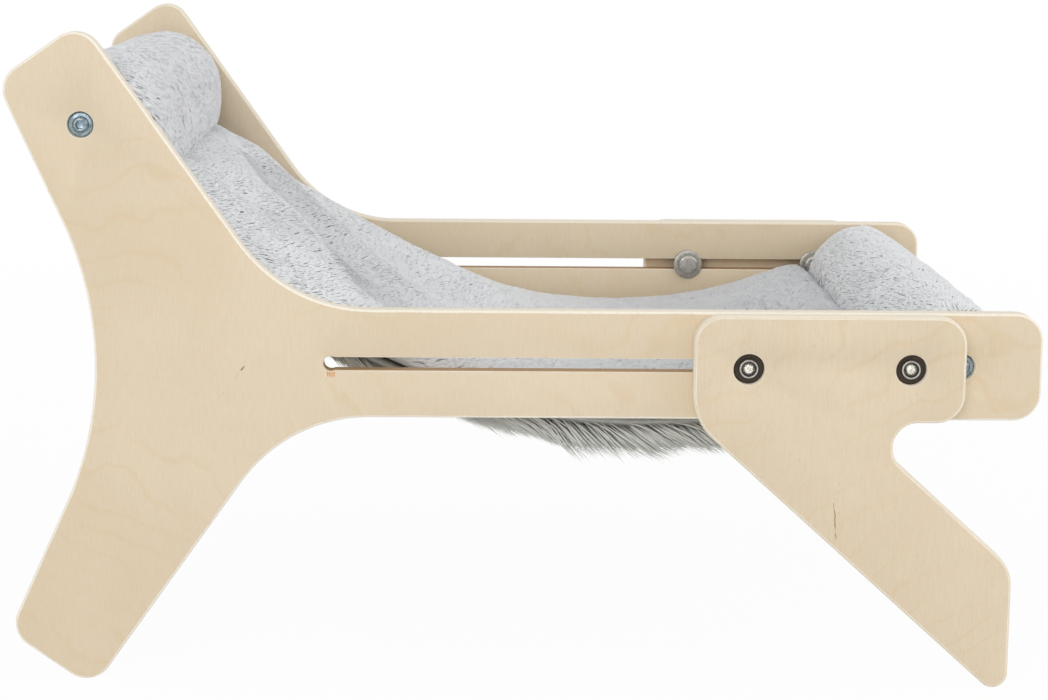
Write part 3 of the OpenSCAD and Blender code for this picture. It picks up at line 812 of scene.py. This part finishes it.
# How fast the ridges change round the roll, as a share of their change along it
GATHER_ROUND = 0.25
# How far the cloth hangs away from the bar at its right and left ends, and at which angle
SAG = {"rear": (8.5 * MM, 4.5 * MM), "front": (0.0, 0.0)}
SAG_ANGLE = math.radians(-32)
# How much is left of the roll's swelling towards its seam, on top, and how soon that ends below
FLARE_LEFT = {"rear": 1.0, "front": 0.35}
FLARE_FADE = 8 * MM
# Pile grows only on cloth that is farther than this from the bar's surface
TUNNEL_CLEAR = 3 * MM
# How far the cloth bunches up towards the bed at the middle of its width
BUNCH = {"rear": 0.0, "front": 6.0 * MM}
# How far each roll is pressed in on top, and at which angle
PRESSED = {"rear": 1.0 * MM, "front": 0.6 * MM}
PRESSED_ANGLE = {"rear": math.radians(120), "front": math.radians(40)}


def shaggy_rise(root):
    """The rise of the underside's pile: flat on the rear slope, fuller towards the front."""
    return np.radians(np.interp(root[:, 0], SHAGGY_X, SHAGGY_RISE))


def comb_over(outward):
    """The way the pile is combed round a roll or down the bed."""
    level = outward * np.array((1.0, 0.0, 1.0))
    return unit(np.cross(np.array((0.0, 1.0, 0.0)), level))


def lean(comb, normal, share):
    """A comb that also leans to the left side, along the surface and less towards its edges."""
    way = comb + share * np.array((0.0, 1.0, 0.0)) * (1 - np.abs(normal[:, 1:2]))
    return unit(way - (way * normal).sum(1, keepdims=True) * normal)


def upright(root, normal, side):
    """Normals without their turn to the bed's edges, where the comb follows the bed too."""
    slope = np.interp(root[:, 0], BED_SLOPE_X, BED_SLOPE)
    plain = side * unit(np.stack([-slope, np.zeros(len(root)), np.ones(len(root))], axis=1))
    share = np.abs(normal[:, 1:2])
    return normal * (1 - share) + plain * share


def skin(node, sink, facing):
    """A smooth copy of a soft node, its outer side drawn in to where the strands are rooted."""
    bm = merged_copy(node)
    bmesh.ops.join_triangles(
        bm, faces=bm.faces, angle_face_threshold=JOIN_ANGLE, angle_shape_threshold=JOIN_SKEW,
    )
    bm.normal_update()
    for v in bm.verts:
        if facing is None or v.normal.z * facing > SKIN_TURN:
            v.co -= v.normal * sink
    return bm


def smooth_subdivided(piece, levels):
    """Applies a subdivision surface to a piece."""
    rounder = piece.modifiers.new("rounder", "SUBSURF")
    rounder.levels = levels
    rounder.render_levels = levels
    bpy.context.view_layer.update()
    shaped = piece.evaluated_get(bpy.context.evaluated_depsgraph_get())
    smooth = bpy.data.meshes.new_from_object(shaped)
    piece.modifiers.clear()
    piece.data = smooth
    piece.data.name = piece.name


def plush_skin(name, node, sink, facing, material):
    """The cloth of a soft piece, without its pile."""
    piece = new_piece(name, skin(node, sink, facing), [material], ALL_SMOOTH)
    smooth_subdivided(piece, SKIN_LEVELS)
    stand_for(piece, node, FRAME_BODY)
    return piece


def settle(mesh, depth):
    """Draws a skin in below its strands' roots, so that it shows only between them."""
    spots, corners, normals = surface(mesh)
    move_points(mesh, spots - normals * depth)


def beside(spots, start, end):
    """The share along a line in plan, and the distance past it to its far side."""
    line = np.subtract(end, start)
    away = spots[:, :2] - np.array(start)
    share = np.clip(away @ line / (line @ line), 0.0, 1.0)
    return share, (away[:, 1] * line[0] - away[:, 0] * line[1]) / np.linalg.norm(line)


def faded(share, ends):
    """1 along a fold, fading to 0 at its start and its end over these shares of its length."""
    return np.clip(share / ends[0], 0.0, 1.0) * np.clip((1 - share) / ends[1], 0.0, 1.0)


def crest(spots, start, end, height):
    """A fold's height: gentle on its near side, steep on its far side beside a groove."""
    share, past = beside(spots, start, end)
    width = np.where(past < 0, CREST_NEAR, CREST_FAR)
    groove = GROOVE_DEPTH * np.exp(-(((past - GROOVE_AWAY) / GROOVE_WIDTH) ** 2))
    return height * faded(share, CREST_FADE) * (np.exp(-((past / width) ** 2)) - groove)


def fold_painted_light(spots):
    """Painted light at the folds: a painted highlight on each crest, painted shade behind it, and
    painted shade towards the front.
    """
    tone = np.zeros(len(spots))
    for start, end, height in CRESTS:
        share, past = beside(spots, start, end)
        size = height / CRESTS[0][2]
        # pressed is the painted shade behind the crest, and light the painted highlight along it
        pressed = np.clip((past - FOLD_SHADE_AWAY) / FOLD_SHADE_ONSET, 0.0, 1.0)
        pressed *= np.exp(-np.maximum(past, 0.0) / (FOLD_SHADE_WIDTH * size ** 2))
        light = CREST_PAINTED_HIGHLIGHT * np.exp(-((past / CREST_HIGHLIGHT_WIDTH) ** 2))
        tone += faded(share, FOLD_PAINT_FADE) * (light - size * FOLD_PAINTED_SHADE * pressed)
    return tone + np.interp(spots[:, 0], FRONT_PAINTED_SHADE_X, (0.0, FRONT_PAINTED_SHADE))


def ruffle(draw, mesh):
    """Sharpens the folds of the bed's top, lifts its front and bumps, and lets its edges droop."""
    spots, corners, normals = surface(mesh)
    height = np.interp(spots[:, 0], RUFFLE_X, RUFFLE_HEIGHT)
    bump = height * smooth_field(draw, spots, RUFFLE_SPACING)
    for start, end, top in CRESTS:
        bump += crest(spots, start, end, top)
    rim = np.clip((np.abs(spots[:, 1]) - (bed_side_y - EDGE_WIDTH)) / EDGE_WIDTH, 0.0, 1.0)
    start, end = FRONT_RISE_X
    front = np.clip((spots[:, 0] - start) / (end - start), 0.0, 1.0)
    bump += FRONT_RISE * front ** 2 - EDGE_DROOP * rim ** 2 * (1 - front)
    bump *= np.maximum(normals[:, 2], 0.0)
    move_points(mesh, spots + normals * bump[:, None])


def bed(draw, top_hair, under_hair, top_back, under_back):
    """The two plies of the bed, back to back, each a sheet of plush."""

    def above(centre, normal):
        return normal[:, 2] > TOP_TURN

    def below(centre, normal):
        return normal[:, 2] < np.interp(centre[:, 0], UNDER_TURN_X, UNDER_TURN)

    top = plush_skin("bed_top", "bed_top_ply", BED_TOP_SINK, 1, top_back)
    ruffle(draw, top.data)
    root, normal = scatter(draw, top.data, SHORT_PILE["spacing"], above)
    comb = lean(comb_over(upright(root, normal, 1)), normal, BED_LEAN)
    line = strands(draw, root, normal, comb, SHORT_PILE, SHORT_RISE)
    # The top's strands get painted highlights on the fold crests, and painted shade behind them and
    # towards the front
    top_pile = pile("bed_top_pile", draw, line, normal, SHORT_PILE, top_hair, fold_painted_light(root))
    settle(top.data, BED_SETTLE)
    under = plush_skin("bed_under", "bed_under_ply", BED_UNDER_SINK, -1, under_back)
    root, normal = scatter(draw, under.data, LONG_PILE["spacing"], below)
    comb = -comb_over(upright(root, normal, -1))
    line = strands(draw, root, normal, comb, LONG_PILE, shaggy_rise(root))
    under_pile = pile("bed_under_pile", draw, line, normal, LONG_PILE, under_hair)
    settle(under.data, BED_SETTLE)


def gather(draw, mesh, end, bar, inner):
    """Draws in a roll's ends and its swelling towards the bed, and gathers its cloth in ridges."""
    spots, corners, normals = surface(mesh)
    away = (spots - np.array(bar)) * np.array((1.0, 0.0, 1.0))
    radius = np.linalg.norm(away, axis=1)
    angle = np.arctan2(away[:, 2], away[:, 0])
    low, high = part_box(f"{end}_roll_cover")
    full = high.z - bar.z - ROLL_SINK[end]
    outer = radius > inner
    bedward = away[:, 0] * (1 if end == "rear" else -1) > 0
    above = np.clip(away[:, 2] / FLARE_FADE + 1.0, 0.0, 1.0)
    flare = np.maximum(radius - full, 0.0) * bedward * above
    past = np.clip((np.abs(spots[:, 1]) - (high.y - END_LENGTH)) / END_LENGTH, 0.0, 1.0)
    along = np.stack([spots[:, 1], GATHER_ROUND * full * angle, np.zeros(len(spots))], axis=1)
    ridge = GATHER_HEIGHT[end] * smooth_field(draw, along, GATHER_SPACING)
    hang = np.interp(spots[:, 1], (low.y, high.y), SAG[end])
    sag = hang * np.maximum(np.cos(angle - SAG_ANGLE), 0.0) ** 2
    pressed = PRESSED[end] * np.maximum(np.cos(angle - PRESSED_ANGLE[end]), 0.0) ** 2
    middle = 1 - (spots[:, 1] / high.y) ** 2
    bunch = BUNCH[end] * middle * np.maximum(-np.cos(angle), 0.0) ** 2
    drawn = END_DRAW * past ** 2 * np.where(bedward, 1.0, FAR_DRAW)
    change = (ridge + sag + bunch - pressed - (1 - FLARE_LEFT[end]) * flare - drawn) * outer
    move_points(mesh, spots + away / np.maximum(radius, inner)[:, None] * change[:, None])


def roll(draw, end, bar, hair, back):
    """A plush tunnel round a crossbar, its pile combed round it."""
    node = f"{end}_roll_cover"
    cover = plush_skin(f"{end}_roll", node, ROLL_SINK[end], None, back)
    inner = bar_radius + TUNNEL_CLEAR
    gather(draw, cover.data, end, bar, inner)

    def outside(centre, normal):
        return np.hypot(centre[:, 0] - bar.x, centre[:, 2] - bar.z) > inner

    root, normal = scatter(draw, cover.data, ROLL_PILE[end]["spacing"], outside)
    parting = np.tanh((root[:, :1] - bar.x) / PARTING_WIDTH) if end == "front" else 1.0
    comb = lean(comb_over(root - np.array(bar)) * parting, normal, ROLL_LEAN[end])
    line = strands(draw, root, normal, comb, ROLL_PILE[end], ROLL_RISE[end])
    for piece in pile(f"{end}_roll_pile", draw, line, normal, ROLL_PILE[end], hair):
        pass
    settle(cover.data, ROLL_SETTLE)


# The photograph's view and its light


# The camera's place, its turns, and its lens and sensor in millimetres
CAMERA_PLACE = Vector((-24.8, -1290.0, 383.7)) * MM
CAMERA_PITCH = math.radians(8.77)
CAMERA_YAW = math.radians(0.99)
CAMERA_ROLL = math.radians(0.53)
CAMERA_LENS = 79.39
CAMERA_SENSOR = 36.0
CAMERA_SHIFT = (0.0062, -0.08)
CAMERA_REACH = 60.0
# Each lamp's place, width and power in watts; all of them point at the same spot
LAMP_TARGET = (0, 0, 0.15)
LAMPS = {
    "overhead": ((0.8, -0.2, 2.0), 1.6, 3.0),
    "camera_side": ((-0.8, -2.6, 1.2), 1.8, 23.0),
    "right_side": ((2.7, -0.7, 1.5), 2.2, 19.5),
}
# The strength of the light from all round
ROOM_LIGHT = 0.62
# The floor's size and grey, and the share of white that the camera sees, from one distance to another
FLOOR_SIZE = 25.0
FLOOR_GREY = (0.86, 0.86, 0.86, 1)
FLOOR_WHITE = (0.96, 1.0)
FLOOR_WHITE_AWAY = (0.4, 1.8)
WHITE = (1, 1, 1, 1)


def add_camera():
    """The camera, fitted to the photograph by its place, its three turns and its lens."""
    pitch, yaw, roll_turn = CAMERA_PITCH, CAMERA_YAW, CAMERA_ROLL
    level_right = Vector((math.cos(yaw), -math.sin(yaw), 0))
    level_ahead = Vector((math.sin(yaw), math.cos(yaw), 0))
    straight_down = Vector((0, 0, -1))
    tilted_down = math.cos(pitch) * straight_down - math.sin(pitch) * level_ahead
    ahead = math.sin(pitch) * straight_down + math.cos(pitch) * level_ahead
    right = math.cos(roll_turn) * level_right - math.sin(roll_turn) * tilted_down
    down = math.sin(roll_turn) * level_right + math.cos(roll_turn) * tilted_down
    data = bpy.data.cameras.new("camera")
    data.sensor_width = CAMERA_SENSOR
    data.lens = CAMERA_LENS
    data.shift_x, data.shift_y = CAMERA_SHIFT
    data.clip_end = CAMERA_REACH
    camera = bpy.data.objects.new("camera", data)
    turn = Matrix((right, -down, -ahead)).transposed()
    camera.matrix_world = Matrix.Translation(CAMERA_PLACE) @ turn.to_4x4()
    bpy.context.scene.collection.objects.link(camera)
    bpy.context.scene.camera = camera


def add_lamp(name, place, size, watts):
    """A round soft lamp that points at the object."""
    data = bpy.data.lights.new(name, "AREA")
    data.shape = "DISK"
    data.size = size
    data.energy = watts
    lamp = bpy.data.objects.new(name, data)
    lamp.location = place
    aim = Vector(LAMP_TARGET) - Vector(place)
    lamp.rotation_euler = aim.to_track_quat("-Z", "Y").to_euler()
    bpy.context.scene.collection.objects.link(lamp)


def seen_directly(tree):
    """1 where a ray comes from the camera, a mirror or glass, and 0 for the light on the object."""
    path = tree.nodes.new("ShaderNodeLightPath")
    total = path.outputs["Is Camera Ray"]
    for name in ("Is Glossy Ray", "Is Transmission Ray"):
        node = tree.nodes.new("ShaderNodeMath")
        node.operation = "MAXIMUM"
        tree.links.new(total, node.inputs[0])
        tree.links.new(path.outputs[name], node.inputs[1])
        total = node.outputs[0]
    return total


def add_world():
    """Even light from all round, with white behind the object."""
    world = bpy.data.worlds.new("studio")
    world.use_nodes = True
    tree = world.node_tree
    lit = tree.nodes["Background"]
    lit.inputs["Color"].default_value = WHITE
    lit.inputs["Strength"].default_value = ROOM_LIGHT
    white = tree.nodes.new("ShaderNodeBackground")
    white.inputs["Strength"].default_value = 1.0
    mix = tree.nodes.new("ShaderNodeMixShader")
    tree.links.new(seen_directly(tree), mix.inputs[0])
    tree.links.new(lit.outputs[0], mix.inputs[1])
    tree.links.new(white.outputs[0], mix.inputs[2])
    tree.links.new(mix.outputs[0], tree.nodes["World Output"].inputs["Surface"])
    bpy.context.scene.world = world


def add_floor():
    """A pale floor that is white to the camera but keeps a faint shadow."""
    bm = bmesh.new()
    bmesh.ops.create_grid(bm, x_segments=1, y_segments=1, size=FLOOR_SIZE)
    floor_finish = Finish("pale_floor")
    tree = floor_finish.tree
    floor_finish.set(Base_Color=FLOOR_GREY, Roughness=0.9, Specular_IOR_Level=0.0)
    white = floor_finish.add("ShaderNodeEmission", {"Color": WHITE, "Strength": 1.0})
    spot = floor_finish.add("ShaderNodeTexCoord").outputs["Object"]
    distance = floor_finish.vector("LENGTH", {0: spot})["Value"]
    white_share = floor_finish.span(distance, *FLOOR_WHITE_AWAY, *FLOOR_WHITE)
    share = floor_finish.math("MULTIPLY", seen_directly(tree), white_share)
    mix = floor_finish.add("ShaderNodeMixShader", {0: share})
    tree.links.new(floor_finish.shader.outputs[0], mix.inputs[1])
    tree.links.new(white.outputs[0], mix.inputs[2])
    tree.links.new(mix.outputs[0], tree.nodes["Material Output"].inputs["Surface"])
    floor = new_piece("floor", bm, [floor_finish.material])


def add_stage():
    add_camera()
    add_world()
    add_floor()
    for name, (place, size, watts) in LAMPS.items():
        add_lamp(name, place, size, watts)
    bpy.context.scene.view_settings.view_transform = "Standard"


# The whole hammock


# The start of the random numbers
SEED = 41


def add_boards_and_hardware():
    """The plywood boards, and the bars and hardware that hold them together."""
    panel_marks = on_face(panel_outer_y, [*PANEL_CHECKS, *scorches()])
    panel_face = birch_face("birch_panel", PANEL_FIGURE, panel_marks)
    leg_face = birch_face("birch_leg", LEG_FIGURE, on_face(leg_outer_y, LEG_CHECKS))
    # The edges' near-white is partly the pale sanded plies and partly painted highlight, where the
    # rounded edges catch the light
    edge = birch_edge("birch_edge", srgb(248, 241, 226), srgb(243, 232, 211))
    slot_wall = birch_edge("slot_wall", srgb(216, 186, 146), srgb(192, 158, 118))
    beech = turned_beech()
    zinc = metal("zinc_plate", srgb(160, 174, 182), srgb(112, 128, 138), 0.34, 500.0)
    nickel = metal("nickel_plate", srgb(196, 193, 187), srgb(166, 162, 155), 0.42, 450.0)
    brass = metal("turned_brass", srgb(214, 182, 108), srgb(186, 150, 80), 0.35, 450.0)
    black = black_washer()
    mouth = mouth_painted_shade()
    cut_end = broken_steel()
    bars = (rear_bar, front_bar)
    for side in SIDES:
        body = f"{side}_leg"
        clamps = [centre_of(f"{side}_{end}_outer_washer") for end in ENDS]
        slot = (Vector((SLOT_REAR_X, 0, slot_axis_z)), Vector((clamps[1].x, 0, slot_axis_z)))
        plywood(f"{side}_side_panel", FRAME_BODY, bars, slot, panel_face, edge, slot_wall)
        plywood(f"{side}_leg_plate", body, clamps, None, leg_face, edge, slot_wall)
        for end in ENDS:
            hardware(f"{end}_{side}_bolt", FRAME_BODY, zinc)
            clamp_bolt(f"{side}_{end}_clamp_bolt", body, nickel, cut_end)
            hardware(f"{side}_{end}_inner_washer", body, nickel, WASHER_ROUND)
            hardware(f"{side}_{end}_outer_washer", body, black)
            sleeve_nut(f"{side}_{end}_sleeve_nut", body, nickel, mouth)
    for end in ENDS:
        kept_node(f"{end}_crossbar", beech)
        kept_node(f"{end}_bar_inserts", brass)


def add_cloth():
    """The plush bed and its two rolls."""
    # The strands are darker towards their roots: painted shade deep in the pile
    top_stops = [(0.0, srgb(238, 240, 243)), (0.45, srgb(243, 245, 247)), (1.0, srgb(248, 249, 251))]
    under_stops = [(0.0, srgb(200, 201, 195)), (0.5, srgb(216, 217, 210)), (1.0, srgb(230, 231, 225))]
    top_hair = pile_hair("top_plush", top_stops, 0.62, 1.0)
    under_hair = pile_hair("under_plush", under_stops, 0.84, 1.0)
    top_back = backing("top_backing", srgb(236, 238, 240), srgb(222, 225, 228))
    under_back = backing("under_backing", srgb(206, 207, 202), srgb(184, 185, 181))
    draw = np.random.default_rng(SEED)
    bed(draw, top_hair, under_hair, top_back, under_back)
    roll(draw, "rear", rear_bar, top_hair, top_back)
    roll(draw, "front", front_bar, top_hair, top_back)


add_boards_and_hardware()
add_cloth()
add_stage()
bpy.context.view_layer.update()
